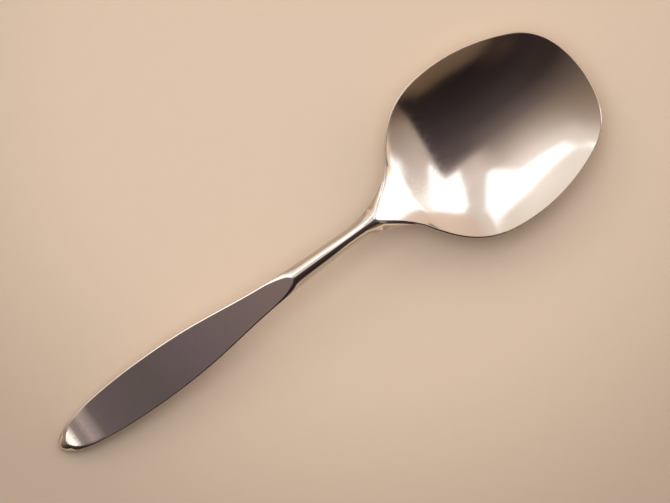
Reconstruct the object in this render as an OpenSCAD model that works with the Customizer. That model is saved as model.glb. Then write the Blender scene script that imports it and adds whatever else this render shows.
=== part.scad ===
// Serving spoon with a deep pressed bowl, a forged shank and a hollow handle with a flat leaf face.
// The nose of the handle points along -X, the bowl lies along +X, and the spoon rests on z = 0.

/* [Bowl] */
// Length of the bowl along the spoon
bowl_l = 90.4; // [82:0.5:98]
// Widest width of the bowl
bowl_w = 64.6; // [58:0.2:72]
// Depth of the bowl below its rim
bowl_depth = 13.5; // [11:0.25:16]
// Thickness of the bowl at its deepest place
bowl_wall = 1.2; // [1:0.05:1.5]
// Width of the flat top of the rim
rim_w = 1; // [0.7:0.05:1.3]
// Thickness of the bowl at the rim
rim_t = 0.7; // [0.5:0.05:0.9]
// Rounding of the upper edge of the rim
rim_round = 0.2; // [0.1:0.05:0.3]
// Height that the rim loses from the heel to the far end
rim_drop = 5; // [2:0.25:7]
// Depth of the small flat that the bowl rests on
rest_cut = 0.3; // [0.2:0.05:0.4]
// Distance from the heel of the bowl to the start of its hollow
hollow_start = 1.8; // [1.2:0.1:3]

/* [Handle] */
// Length from the nose of the handle to the heel of the bowl
handle_l = 137.6; // [128:0.5:150]
// Widest width of the handle
handle_w = 17.5; // [15:0.25:20]
// Thickness of the handle at its widest place
handle_t = 6; // [5.5:0.1:7]
// Length of the two hollow shells, from the nose to the shoulder of the shank
shell_l = 104.5; // [98:0.5:112]
// Wall of the hollow shells
shell_wall = 1; // [0.8:0.05:1.2]
// Length of the solid metal at the nose of the shells
nose_solid = 7; // [5:0.25:9]
// Height of the middle of the nose over the table
nose_mid = 2.4; // [2:0.1:3]
// Distance from the nose to where the handle touches the table
nose_rest = 6; // [4:0.25:8]

/* [Leaf face] */
// Polished metal left on each side of the leaf face
leaf_edge = 0.5; // [0.3:0.05:0.9]
// Polished metal left in front of the leaf face, at the nose
leaf_front = 3.25; // [2:0.25:5]
// Polished metal left behind the leaf face, at the shoulder
leaf_back = 1.5; // [0.5:0.25:4]
// Length over which the nose end of the leaf face rounds in
leaf_nose_l = 12.5; // [9:0.5:16]
// Length over which the bowl end of the leaf face narrows to its tip
leaf_tip_l = 12; // [8:0.5:18]
// Length of the stretch where the face rolls down to the nose
roll_l = 15; // [12:0.5:20]
// Height of the face where it starts to roll down
roll_h = 6.6; // [6.2:0.1:7.4]

/* [Shank] */
// Width of the neck at its narrowest place
neck_w = 6.1; // [5.4:0.1:7.5]
// Thickness of the neck at its narrowest place
neck_t = 5.2; // [4.6:0.1:6]
// Thickness of the shank at the heel of the bowl
heel_t = 4.9; // [4.3:0.1:5.4]
// Thickness that the shank loses just before the heel
heel_dip = 0.3; // [0:0.05:0.5]
// Height of the back end of the leaf face above the heel of the rim
crest = 1.5; // [0.5:0.25:3]
// Length of the heel drop under the bowl
drop_l = 28; // [22:0.5:34]
// Thickness of the heel drop at its end
drop_t = 0.6; // [0.4:0.05:0.9]
// Extra height of the heel flanks beside the rim
flank_h = 0.4; // [0.2:0.05:0.8]
// Length of the tang inside the handle
tang_l = 55; // [40:1:70]
// Width of the tang
tang_w = 3.6; // [3:0.1:3.8]
// Thickness of the tang
tang_t = 2.2; // [1.6:0.1:2.4]
// Gap filled by braze or cement between two pieces
joint_gap = 0.12; // [0.1:0.01:0.16]

/* [Hidden] */

// Half outline of the rim from the heel to the far end, along bowl_l and half of bowl_w
rim_shares = [
    [0, 0], [0, 0.05], [0.096, 0.155], [0.162, 0.418], [0.266, 0.874], [0.363, 1], [0.535, 1],
    [0.663, 1], [0.785, 0.888], [0.865, 0.772], [0.973, 0.613], [1, 0.284], [1, 0]
];
// Fall of the rim below the heel: along bowl_l, and along rim_drop
sheer_shares = [[0, 0], [0.045, 0.5], [0.1, 1.1], [0.2, 1.1], [0.45, 1.1], [0.7, 1], [1, 1]];
// Depth of the bowl below its rim along the centre line
depth_shares = [[0, 0], [0.17, 0], [0.27, 1], [0.57, 1], [0.8, 1], [0.93, 0.37], [1, 0]];
// Half outline of the handle from the nose to its widest place, along handle_l and half of handle_w
nose_shares = [[0, 0], [0, 0.74], [0.155, 1], [0.297, 1]];
// Half outline on to the neck: along handle_l, and from half of neck_w to half of handle_w
taper_shares = [[0.46, 1], [0.518, 0.637], [0.636, 0.326], [0.707, 0.139], [0.857, 0], [0.923, 0]];
// Half outline of the heel: from the neck to the rim, and from half of neck_w to the rim's width there
flare_shares = [[0.378, 0], [0.708, 0.388]];
// Where the heel's outline meets the rim, along bowl_l
merge_share = 0.135;
// Half outline of the heel drop: from the rim to its end, and along the width where it meets the rim
drop_shares = [[0.2, 1.2], [1, 0.8], [1, 0]];
// Handles of the side view's curves, along the stretch that each one spans
side_shares = [0.35, 0.65];
// Height of the nose's curve before its face, and below it, along nose_mid
nose_top_share = 1.75;
nose_under_share = 0.25;
// Height from the top of the handle to its widest line, along its thickness
mid_share = 0.42;
// Half width of the seam's flat in the solid nose, along the half width of the handle
seam_share = 0.42;
// Half width of the neck's crown, along half of neck_w
crown_share = 0.21;
// Size of the tang's end, along its full size
tang_tip_share = 0.58;
// Centre of the bowl's rings, along bowl_l
centre_share = 0.56;
// Rings of the bowl's two surfaces, along the way from its centre to its edge
ring_shares = [0.96, 0.915, 0.865, 0.81, 0.75, 0.68, 0.6, 0.5, 0.38, 0.24, 0.09];

// Power of the leaf's nose end, of its tip, and of the cavity's rounded corners
leaf_nose_power = 3;
leaf_tip_power = 2;
cavity_power = 3;
// Power with which the heel thins under the bowl
drop_power = 4;
// Angle at which the polished side leaves the leaf's edge
crisp_angle = 24;
// Angle of the narrow crown where there is no leaf
crown_angle = 7;
// Angle at which the last section of the heel drop stands short of its rounded end
drop_angle = 84;
// Width of the seat's floor, along the width between the foot of its walls
seat_share = 0.988;

// Steps along each curve, and across the pieces
curve_steps = 24;
rim_steps = 11;
arc_steps = 5;
under_steps = 12;
floor_steps = 10;

// Steps between the sections of each stretch
nose_steps = 8;
roll_steps = 4;
rise_steps = 6;
body_steps = 12;
tip_steps = 6;
neck_steps = 6;
arch_steps = 5;
heel_steps = 13;
drop_steps = 9;
filler_steps = 8;

handle_hw = handle_w / 2;
neck_hw = neck_w / 2;
bowl_hw = bowl_w / 2;
widest_x = nose_shares[3].x * handle_l;
neck_x = taper_shares[5].x * handle_l;
leaf_end = shell_l - leaf_back;
leaf_turn = leaf_end - leaf_tip_l;
merge_x = handle_l + merge_share * bowl_l;
drop_x = handle_l + drop_l;
overall_l = handle_l + bowl_l;
half_gap = joint_gap / 2;

function bezier(p, t) =
    pow(1 - t, 3) * p[0] + 3 * pow(1 - t, 2) * t * p[1] + 3 * (1 - t) * t * t * p[2] + pow(t, 3) * p[3];

// Points along a row of curves that share their end points
function chain(p, steps) = [
    for (i = [0:3:len(p) - 4], k = [(i == 0 ? 0 : 1):steps])
        bezier([p[i], p[i + 1], p[i + 2], p[i + 3]], k / steps)
];

function mix(a, b, share) = a + (b - a) * share;

// Parabola that is 0 at both ends and 1 in the middle
function hump(u) = 1 - pow(2 * u - 1, 2);

// Ease of a superellipse from 1 to 0 while u goes from 0 to 1
function ease(u, power) = u <= 0 ? 1 : (u >= 1 ? 0 : pow(1 - pow(u, power), 1 / power));

function spread(a, b, steps) = [for (i = [1:steps]) mix(a, b, i / steps)];

// Outlines of the bowl
rim_line = chain([for (s = rim_shares) [s.x * bowl_l, s.y * bowl_hw]], rim_steps);
inner_l = bowl_l - hollow_start - rim_w;
inner_hw = bowl_hw - rim_w;
inner_line = [for (p = rim_line) [hollow_start + p.x / bowl_l * inner_l, p.y / bowl_hw * inner_hw]];
sheer_line = chain(sheer_shares, curve_steps);
depth_line = chain(depth_shares, curve_steps);
outer_depth = bowl_depth + bowl_wall - rim_t;

// Fall of the bowl's underside from the rim's level at the heel, on the centre line
function under_fall(share) =
    rim_drop * lookup(share, sheer_line) + rim_t + outer_depth * lookup(share, depth_line);
rim_z = max([for (p = depth_line) under_fall(p.x)]) - rest_cut;

function rim_height(x) = rim_z - rim_drop * lookup(x / bowl_l, sheer_line);
function across(y, hw) = hw > 0 ? 1 - pow(min(abs(y) / hw, 1), 2) : 0;

// Height of the bowl's inside at a place measured from its heel
function inside_z(x, y) =
    rim_height(x) - bowl_depth * lookup((x - hollow_start) / inner_l, depth_line)
    * across(y, lookup(x, inner_line));

// Height of the bowl's underside at a place measured from its heel
function underside_z(x, y) =
    max(0, rim_height(x) - rim_t - outer_depth * lookup(x / bowl_l, depth_line)
    * across(y, lookup(x, rim_line)));

// Half outline of handle, neck and heel
merge_hw = lookup(merge_share * bowl_l, rim_line);
body_line = chain(concat(
    [for (s = nose_shares) [s.x * handle_l, s.y * handle_hw]],
    [for (s = taper_shares) [s.x * handle_l, mix(neck_hw, handle_hw, s.y)]],
    [for (s = flare_shares) [mix(neck_x, merge_x, s.x), mix(neck_hw, merge_hw, s.y)]],
    [[merge_x, merge_hw]],
    [for (s = drop_shares) [mix(merge_x, drop_x, s.x), s.y * merge_hw]]
), curve_steps);

function body_hw(x) = lookup(x, body_line);

// Half outline of the leaf face, zero outside it
function leaf_hw(x) =
    x <= leaf_front || x >= leaf_end ? 0 :
    (body_hw(x) - leaf_edge)
    * ease((leaf_front + leaf_nose_l - x) / leaf_nose_l, leaf_nose_power)
    * ease((x - leaf_turn) / leaf_tip_l, leaf_tip_power);

// Side view: the top line, straight under the leaf face
face_z = rim_z + crest;
face_slope = (face_z - roll_h) / (leaf_end - roll_l);
arch_reach = side_shares[0] * (handle_l - leaf_end);
roll_reach = side_shares[0] * roll_l;
top_line = chain([
    [0, nose_mid],
    [0, nose_mid * nose_top_share],
    [roll_l - roll_reach, roll_h - roll_reach * face_slope],
    [roll_l, roll_h],
    [mix(roll_l, leaf_end, 1 / 3), mix(roll_h, face_z, 1 / 3)],
    [mix(roll_l, leaf_end, 2 / 3), mix(roll_h, face_z, 2 / 3)],
    [leaf_end, face_z],
    [leaf_end + arch_reach, face_z + arch_reach * face_slope],
    [handle_l - arch_reach, rim_z + arch_reach * face_slope / 2],
    [handle_l, rim_z]
], curve_steps);

function top_z(x) = x > handle_l ? rim_height(x - handle_l) : lookup(x, top_line);

// Side view: the bottom line, level where the nose rests
widest_z = lookup(widest_x, top_line) - handle_t;
under_reach = (1 - side_shares[1]) * (widest_x - nose_rest);
bottom_line = chain([
    [0, nose_mid],
    [0, nose_mid * nose_under_share],
    [nose_rest * side_shares[0], 0],
    [nose_rest, 0],
    [mix(nose_rest, widest_x, side_shares[0]), 0],
    [mix(nose_rest, widest_x, side_shares[1]), widest_z - under_reach * face_slope],
    [widest_x, widest_z]
], curve_steps);
thick_line = chain([
    [widest_x, handle_t],
    [mix(widest_x, neck_x, side_shares[0]), handle_t],
    [mix(widest_x, neck_x, side_shares[1]), neck_t],
    [neck_x, neck_t],
    [mix(neck_x, handle_l, side_shares[0]), neck_t],
    [mix(neck_x, handle_l, side_shares[1]), heel_t - heel_dip],
    [handle_l, heel_t]
], curve_steps);

// Thickness of the heel under the bowl
function heel_under_t(x) =
    mix(drop_t, heel_t - rim_t - joint_gap, pow(1 - (x - handle_l) / drop_l, drop_power));

function bottom_z(x) =
    x < widest_x ? lookup(x, bottom_line) :
    x <= handle_l ? top_z(x) - lookup(x, thick_line) :
    underside_z(x - handle_l, 0) - joint_gap - heel_under_t(x);

// Height of the widest line of handle, neck and heel
function mid_z(x) =
    let (u = (x - handle_l) / (merge_x - handle_l))
    u <= 0 ? mix(top_z(x), bottom_z(x), mid_share) :
    u <= 1 ? top_z(x) - mix(heel_t * mid_share, rim_t + joint_gap + drop_t, u) - hump(u) * flank_h :
    underside_z(x - handle_l, body_hw(x)) - joint_gap - drop_t;

// Cavity of the handle shells
function cavity_hw(x) = body_hw(x) - shell_wall;
function ceiling_z(x) = top_z(x) - shell_wall;
function cavity_floor_z(x) = bottom_z(x) + shell_wall;
function corner(angle) = pow(abs(sin(angle)), 2 / cavity_power);
function corner_y(angle) = sign(cos(angle)) * pow(abs(cos(angle)), 2 / cavity_power);

// Places of the sections along the handle
nose_stations = [for (i = [1:nose_steps]) nose_solid * (1 - cos(90 * i / nose_steps))];
hollow_stations = concat(
    [nose_solid + half_gap],
    spread(nose_solid, roll_l, roll_steps),
    spread(roll_l, widest_x, rise_steps),
    spread(widest_x, leaf_turn, body_steps),
    [for (i = [1:tip_steps]) leaf_turn + leaf_tip_l * sin(90 * i / tip_steps)],
    [shell_l - half_gap]
);

// End face between the two halves of a section, as a strip of triangles
function strip_cap(n, start) = [
    for (j = [0:floor(n / 2) - 2 + n % 2], half = [0, 1])
        let (a = start + j, b = start + n - 1 - j)
        if (half == 0 || b - 1 != a + 1)
            half == 0 ? [a, b, a + 1] : [a + 1, b, b - 1]
];

function flipped(face) = [for (i = [len(face) - 1:-1:0]) face[i]];

// A closed surface through sections of equally many points, each end flat or run out to a point
module loft(sections, first_point = undef, last_point = undef) {
    n = len(sections[0]);
    m = len(sections);
    ends = concat(first_point == undef ? [] : [first_point], last_point == undef ? [] : [last_point]);
    last_index = m * n + len(ends) - 1;
    first = first_point == undef ? strip_cap(n, 0) : [for (j = [0:n - 1]) [m * n, (j + 1) % n, j]];
    last = last_point == undef ? [for (f = strip_cap(n, (m - 1) * n)) flipped(f)] :
        [for (j = [0:n - 1]) [last_index, (m - 1) * n + j, (m - 1) * n + (j + 1) % n]];
    sides = [
        for (i = [0:m - 2], j = [0:n - 1], half = [0, 1])
            let (a = i * n + j, b = i * n + (j + 1) % n, c = a + n, d = b + n)
            half == 0 ? [a, b, d] : [a, d, c]
    ];
    points = concat([for (s = sections, p = s) p], ends);
    translate([-overall_l / 2, 0, 0])
        polyhedron(points = points, faces = [for (f = concat(first, sides, last)) flipped(f)]);
}

// Points of the polished side, from the widest line up to the flat of the face
function side_arc(x) =
    let (hw = body_hw(x), flat = leaf_hw(x), mid = mid_z(x), top = top_z(x), start = crisp_angle * flat / hw)
    [
        for (i = [0:arc_steps])
            let (angle = mix(90, max(start, crown_angle), i / arc_steps))
            [
                mix(flat, hw, (sin(angle) - sin(start)) / (1 - sin(start))),
                mid + (top - mid) * cos(angle) / cos(start)
            ]
    ];

// Place across the cavity's wall, or along the seam of the solid nose
function hollow_y(x, share, hollow) =
    hollow ? cavity_hw(x) * corner_y(180 * share) : body_hw(x) * seam_share * (1 - 2 * share);

// Section of the front shell, hollow below from where the solid nose ends
function front_section(x, hollow) =
    let (
        outer = side_arc(x),
        mid = mid_z(x),
        rise = hollow ? ceiling_z(x) - mid : 0
    )
    concat(
        [for (i = [0:arc_steps]) [x, outer[i].x, outer[i].y + half_gap]],
        [[x, 0, top_z(x) + half_gap]],
        [for (i = [arc_steps:-1:0]) [x, -outer[i].x, outer[i].y + half_gap]],
        [for (i = [under_steps:-1:0])
            let (share = i / under_steps)
            [x, hollow_y(x, share, hollow), mid + half_gap + rise * corner(180 * share)]]
    );

// Section of the back shell, a rounded trough
function back_section(x, hollow) =
    let (
        hw = body_hw(x),
        mid = mid_z(x) - half_gap,
        fall = mid - bottom_z(x),
        inner_fall = hollow ? mid - cavity_floor_z(x) : 0
    )
    concat(
        [for (i = [0:under_steps])
            let (angle = 180 * i / under_steps)
            [x, -hw * cos(angle), mid - fall * sin(angle)]],
        [for (i = [0:under_steps])
            let (share = i / under_steps)
            [x, hollow_y(x, share, hollow), mid - inner_fall * corner(180 * share)]]
    );

// Section of the filler, with a channel for the tang on top
function filler_section(x, channel) =
    let (
        hw = cavity_hw(x) - joint_gap,
        mid = mid_z(x),
        rise = ceiling_z(x) - joint_gap - mid,
        fall = mid - cavity_floor_z(x) - joint_gap,
        slot_hw = tang_w / 2 + joint_gap,
        full_z = mid + rise * ease(slot_hw / hw, cavity_power),
        slot_z = channel ? ceiling_z(x) - tang_t - 2 * joint_gap : full_z,
        slot_floor_hw = channel ? slot_hw : slot_hw * seam_share
    )
    concat(
        [for (i = [0:under_steps])
            let (angle = 180 * i / under_steps)
            [x, -hw * corner_y(angle), mid - fall * corner(angle)]],
        [for (i = [1:arc_steps])
            let (y = mix(hw, slot_hw, i / arc_steps))
            [x, y, mid + rise * ease(y / hw, cavity_power)]],
        [for (side = [1, -1]) [x, side * slot_floor_hw, slot_z]],
        [for (i = [arc_steps:-1:1])
            let (y = mix(hw, slot_hw, i / arc_steps))
            [x, -y, mid + rise * ease(y / hw, cavity_power)]]
    );

// Half width of the seat that holds the heel of the bowl, zero in the neck
function seat_hw(x) = x <= handle_l - joint_gap ? 0 : lookup(x - handle_l + joint_gap, rim_line) + joint_gap;

// Height of the shank's upper side away from the seat
function shank_top_z(x, y) =
    let (flat = min(seat_hw(x), body_hw(x) - drop_t / 2), u = (abs(y) - flat) / (body_hw(x) - flat))
    mid_z(x) + (top_z(x) - mid_z(x)) * (u <= 0 ? 1 : sqrt(max(0, 1 - u * u)));

// Section of the neck and heel; the seat follows the bowl's underside
function shank_section(x, seated) =
    let (
        hw = body_hw(x),
        beside = seat_hw(x) < hw - drop_t / 2,
        strip = max(neck_hw * crown_share, beside ? seat_hw(x) : hw - drop_t / 2),
        mid = mid_z(x),
        fall = mid - bottom_z(x),
        bx = x - handle_l,
        lip_z = beside ? shank_top_z(x, strip) : underside_z(bx, strip) - joint_gap
    )
    concat(
        [for (i = [0:arc_steps])
            let (y = mix(strip, hw, cos(90 * i / arc_steps)))
            [x, y, beside ? shank_top_z(x, y) : mix(mid, lip_z, sin(90 * i / arc_steps))]],
        [for (i = [0:floor_steps])
            let (y = strip * seat_share * mix(1, -1, i / floor_steps))
            [x, y, seated ? underside_z(bx, y) - joint_gap : shank_top_z(x, y)]],
        [for (i = [arc_steps:-1:0])
            let (y = mix(strip, hw, cos(90 * i / arc_steps)))
            [x, -y, beside ? shank_top_z(x, y) : mix(mid, lip_z, sin(90 * i / arc_steps))]],
        [for (i = [1:under_steps - 1])
            let (angle = 180 * i / under_steps)
            [x, -hw * cos(angle), mid - fall * sin(angle)]]
    );

// Section of the tang, with as many points as the neck's
function tang_section(x, share) =
    let (middle = ceiling_z(x) - joint_gap - tang_t / 2)
    [
        for (p = shank_section(shell_l, false))
            let (z = p.z - mid_z(shell_l), angle = atan2(z, p.y))
            [x, share * tang_w / 2 * corner_y(angle), middle + share * tang_t / 2 * sign(z) * corner(angle)]
    ];

module bowl() {
    outer = concat(rim_line, [for (k = [len(rim_line) - 2:-1:1]) [rim_line[k].x, -rim_line[k].y]]);
    inner = concat(inner_line, [for (k = [len(inner_line) - 2:-1:1]) [inner_line[k].x, -inner_line[k].y]]);
    centre = [centre_share * bowl_l, 0];
    n = len(outer);
    round_share = rim_round / rim_w;
    rings = concat(
        [for (r = len(ring_shares) - 1, i = [r:-1:0])
            [for (p = outer)
                let (q = centre + ring_shares[i] * (p - centre))
                [q.x, q.y, underside_z(q.x, q.y)]]],
        [[for (p = outer) [p.x, p.y, rim_height(p.x) - rim_t]]],
        [[for (p = outer) [p.x, p.y, rim_height(p.x) - rim_round]]],
        [[for (k = [0:n - 1]) let (q = mix(outer[k], inner[k], round_share)) [q.x, q.y, rim_height(q.x)]]],
        [[for (p = inner) [p.x, p.y, rim_height(p.x)]]],
        [for (share = ring_shares)
            [for (p = inner) let (q = centre + share * (p - centre)) [q.x, q.y, inside_z(q.x, q.y)]]]
    );
    m = len(rings);
    points = concat(
        [for (ring = rings, p = ring) p + [handle_l, 0, 0]],
        [[handle_l + centre.x, 0, underside_z(centre.x, 0)], [handle_l + centre.x, 0, inside_z(centre.x, 0)]]
    );
    faces = concat(
        [for (j = [0:n - 1]) [m * n, (j + 1) % n, j]],
        [for (i = [0:m - 2], j = [0:n - 1], half = [0, 1])
            let (a = i * n + j, b = i * n + (j + 1) % n, c = a + n, d = b + n)
            half == 0 ? [a, b, d] : [a, d, c]],
        [for (j = [0:n - 1]) [m * n + 1, (m - 1) * n + j, (m - 1) * n + (j + 1) % n]]
    );
    color("#8d8883")
        translate([-overall_l / 2, 0, 0])
            polyhedron(points = points, faces = faces);
}

module shank() {
    x0 = shell_l - tang_l;
    shoulder_x = shell_l + half_gap;
    heel_start = handle_l - joint_gap;
    seat_start = heel_start + half_gap;
    neck = concat(spread(shoulder_x, neck_x, neck_steps), spread(neck_x, heel_start, arch_steps));
    heel = concat(
        [for (i = [1:heel_steps]) mix(seat_start, merge_x, (1 - cos(180 * i / heel_steps)) / 2)],
        [for (i = [1:drop_steps]) mix(merge_x, drop_x, sin(drop_angle * i / drop_steps))]
    );
    drop_end = [drop_x, 0, underside_z(drop_l, 0) - joint_gap - drop_t / 2];
    color("#87827d")
        loft(concat(
            [tang_section(x0, tang_tip_share)],
            [for (x = [x0 + tang_t / 2, shoulder_x]) tang_section(x, 1)],
            [for (x = concat([shoulder_x], neck)) shank_section(x, false)],
            [for (x = concat([seat_start], heel)) shank_section(x, true)]
        ), last_point = drop_end);
}

module handle_front() {
    color("#746b69")
        loft(concat(
            [for (x = nose_stations) front_section(x, false)],
            [for (x = hollow_stations) front_section(x, true)]
        ), [0, 0, nose_mid + half_gap]);
}

module handle_back() {
    color("#8d8883")
        loft(concat(
            [for (x = nose_stations) back_section(x, false)],
            [for (x = hollow_stations) back_section(x, true)]
        ), [0, 0, nose_mid - half_gap]);
}

module handle_filler() {
    start = nose_solid + joint_gap * 2;
    tang_x = shell_l - tang_l - joint_gap;
    slot_x = tang_x + half_gap;
    end = shell_l - joint_gap;
    color("#b5ab98")
        loft(concat(
            [for (x = concat([start], spread(start, tang_x, filler_steps))) filler_section(x, false)],
            [for (x = concat([slot_x], spread(slot_x, end, filler_steps))) filler_section(x, true)]
        ));
}

bowl();
shank();
handle_front();
handle_back();
handle_filler();
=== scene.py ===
"""Serving spoon with a deep polished bowl, a slim forged shank and a hollow handle with a satin leaf face.

Sizes are written in millimetres, as a maker would read them off a drawing, and the meshes are in metres.
The nose of the handle points along -X, the bowl along +X, and the spoon rests on z = 0.
"""

import logging
import math
from dataclasses import dataclass
from enum import Enum
from functools import cached_property

import bmesh
import bpy
import numpy as np
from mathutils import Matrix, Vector


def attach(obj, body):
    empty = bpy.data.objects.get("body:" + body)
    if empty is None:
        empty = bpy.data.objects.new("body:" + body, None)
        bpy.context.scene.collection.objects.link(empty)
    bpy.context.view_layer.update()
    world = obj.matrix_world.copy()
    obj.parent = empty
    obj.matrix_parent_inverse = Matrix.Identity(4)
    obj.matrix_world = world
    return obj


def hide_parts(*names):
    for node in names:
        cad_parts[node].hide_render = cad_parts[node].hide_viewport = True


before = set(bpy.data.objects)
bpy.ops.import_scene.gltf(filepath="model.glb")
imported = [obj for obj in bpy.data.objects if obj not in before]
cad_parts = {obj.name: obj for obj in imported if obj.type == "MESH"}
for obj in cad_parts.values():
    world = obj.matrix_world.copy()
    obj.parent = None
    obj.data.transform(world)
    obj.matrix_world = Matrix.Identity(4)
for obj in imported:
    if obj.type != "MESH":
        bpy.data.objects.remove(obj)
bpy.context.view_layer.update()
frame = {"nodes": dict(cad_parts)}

MM = 0.001
LOG = logging.getLogger("serving_spoon")

Number = float | np.ndarray
Pairs = tuple[tuple[float, float], ...]
Point = tuple[float, float, float]
Stops = tuple[tuple[float, str], ...]


class Half(Enum):
    """The two die-struck half shells of the handle."""

    FRONT = "handle_front"
    BACK = "handle_back"


class Face(Enum):
    """Which side of the bowl a ring of points lies on."""

    UNDER = 0
    INSIDE = 1


def linear(hex_colour: str) -> tuple[float, float, float, float]:
    """Turns an sRGB hex colour into linear light.

    Args:
        hex_colour: Six hex digits, with or without a leading #.

    Returns:
        Red, green, blue and an alpha of 1.
    """
    digits = hex_colour.lstrip("#")
    parts = [int(digits[i : i + 2], 16) / 255 for i in (0, 2, 4)]
    lit = [p / 12.92 if p <= 0.04045 else ((p + 0.055) / 1.055) ** 2.4 for p in parts]
    return (lit[0], lit[1], lit[2], 1.0)


def bezier_chain(controls: Pairs | list[tuple[float, float]], steps: int = 600) -> np.ndarray:
    """Points along a row of cubic curves that share their end points.

    Args:
        controls: Control points, three for each curve after the first point.
        steps: Steps along each curve.

    Returns:
        One row of x and y for each point.
    """
    p = np.array(controls, float)
    t = np.linspace(0, 1, steps + 1)[:, None]
    rows = []
    for i in range(0, len(p) - 3, 3):
        curve = (
            (1 - t) ** 3 * p[i]
            + 3 * (1 - t) ** 2 * t * p[i + 1]
            + 3 * (1 - t) * t**2 * p[i + 2]
            + t**3 * p[i + 3]
        )
        rows.append(curve if i == 0 else curve[1:])
    return np.vstack(rows)


def mix(a: Number, b: Number, share: Number) -> Number:
    """Value that lies the given share of the way from a to b, of numbers or of signals."""
    return a + (b - a) * share


def smooth(u: Number) -> Number:
    """Rises smoothly from 0 to 1 while u goes from 0 to 1."""
    held = np.clip(u, 0, 1)
    return held * held * (3 - 2 * held)


def ease(u: Number, power: float) -> Number:
    """Superellipse from 1 to 0 while u goes from 0 to 1."""
    held = np.clip(u, 0, 1)
    return (1 - held**power) ** (1 / power)


@dataclass(frozen=True)
class SpoonLines:
    """The drawn lines that every piece of the spoon follows, in millimetres from the nose of the handle.

    Each table whose name ends in turn holds places across a side of the handle, neck or heel, as shares,
    and how many degrees the side has turned down there. Tables whose names end in shares are control points.
    The crest lies 0.01 mm lower than in the CAD, so that the rounded top stays inside the CAD's box.
    """

    bowl_l: float = 90.4
    bowl_w: float = 64.6
    bowl_depth: float = 13.5
    bowl_wall: float = 1.2
    rim_w: float = 0.55
    rim_t: float = 0.7
    rim_drop: float = 5.0
    rest_cut: float = 0.3
    hollow_start: float = 0.9
    handle_l: float = 137.6
    handle_w: float = 17.5
    handle_t: float = 6.0
    shell_l: float = 104.5
    shell_wall: float = 1.0
    nose_solid: float = 7.0
    nose_mid: float = 2.4
    nose_rest: float = 6.0
    leaf_edge: float = 0.55
    leaf_front: float = 3.25
    leaf_back: float = 1.5
    leaf_nose_l: float = 12.5
    leaf_tip_l: float = 12.0
    roll_l: float = 15.0
    roll_h: float = 6.6
    neck_w: float = 6.1
    neck_t: float = 5.2
    heel_t: float = 4.9
    heel_dip: float = 0.3
    crest: float = 1.49
    drop_l: float = 28.0
    drop_t: float = 0.6
    drop_power: float = 4.0
    flank_h: float = 0.4
    mid_share: float = 0.42
    neck_mid_share: float = 0.62
    merge_share: float = 0.135
    neck_share: float = 0.923
    widest_share: float = 0.297
    pull_share: float = 0.35
    seam: float = 0.015
    fine_step: float = 0.04
    crest_blur: float = 1.5
    brow_blur: float = 4.0
    lip_h: float = 0.34
    lip_skip: float = 0.25
    lip_w: float = 1.0
    bevel_turn: Pairs = ((0, 26), (0.8, 33), (0.93, 45), (1, 62))
    nose_turn: Pairs = ((0, 0), (0.3, 9), (0.6, 24), (0.85, 42), (1, 62))
    neck_turn: Pairs = (
        (0, 0), (0.02, 12), (0.05, 15), (0.2, 17), (0.27, 23), (0.36, 29), (0.55, 36), (0.65, 45),
        (0.8, 53), (1, 62),
    )
    heel_turn: Pairs = ((0, 0), (0.02, 10), (0.05, 13), (0.32, 18), (0.45, 38), (0.65, 44), (1, 52))
    bevel_start: float = 3.0
    bevel_grow_l: float = 13.0
    bevel_least_share: float = 0.45
    leaf_fade_share: float = 0.35
    tip_fade_l: float = 12.0
    tip_fade_past: float = 5.0
    neck_fade_l: float = 20.0
    heel_fade_l: float = 9.0
    side_power: float = 4.0
    bevel_power: float = 12.0
    most_fall_share: float = 0.97
    side_steps: int = 400
    rim_steps: int = 20000
    nose_top_share: float = 1.75
    nose_under_share: float = 0.25
    outline_shares: Pairs = (
        (0, 0), (0, 0.05), (0.096, 0.155), (0.162, 0.418), (0.266, 0.874), (0.363, 1), (0.535, 1),
        (0.663, 1), (0.785, 0.888), (0.865, 0.772), (0.973, 0.613), (1, 0.284), (1, 0),
    )
    fall_shares: Pairs = ((0, 0), (0.045, 0.5), (0.1, 1.1), (0.2, 1.1), (0.45, 1.1), (0.7, 1), (1, 1))
    depth_shares: Pairs = ((0, 0), (0.17, 0), (0.27, 1), (0.57, 1), (0.8, 1), (0.93, 0.37), (1, 0))
    nose_shares: Pairs = ((0, 0), (0, 0.74), (0.155, 1))
    waist_shares: Pairs = ((0.46, 1), (0.518, 0.637), (0.636, 0.326), (0.707, 0.139), (0.857, 0))
    flare_shares: Pairs = ((0.378, 0), (0.708, 0.388))
    end_shares: Pairs = ((0.2, 1.2), (1, 0.8), (1, 0))

    @cached_property
    def rim_line(self) -> np.ndarray:
        """Rows of the share of the bowl's length and that of its half width."""
        return bezier_chain(self.outline_shares)

    @cached_property
    def sheer(self) -> np.ndarray:
        """Rows of the share of the bowl's length and that of the rim's drop."""
        return bezier_chain(self.fall_shares)

    @cached_property
    def depth(self) -> np.ndarray:
        """Rows of the share of the bowl's length and that of its depth."""
        return bezier_chain(self.depth_shares)

    @cached_property
    def rim_z(self) -> float:
        """Works out how high the rim lies at the heel.

        Returns:
            The height at which the cut-off underside rests on the table.
        """
        u = np.linspace(0, 1, self.rim_steps + 1)
        fall = self.rim_drop * np.interp(u, *self.sheer.T) + self.rim_t
        fall = fall + self.outer_depth * np.interp(u, *self.depth.T)
        return float(fall.max() - self.rest_cut)

    @property
    def merge_x(self) -> float:
        """Place where the heel's flanks merge into the drop under the bowl."""
        return self.handle_l + self.merge_share * self.bowl_l

    @property
    def neck_x(self) -> float:
        """Place where the neck starts to flare into the heel."""
        return self.neck_share * self.handle_l

    @property
    def widest_x(self) -> float:
        """Widest place of the handle."""
        return self.widest_share * self.handle_l

    @property
    def leaf_end(self) -> float:
        """Place where the leaf face ends in its tip."""
        return self.shell_l - self.leaf_back

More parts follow.
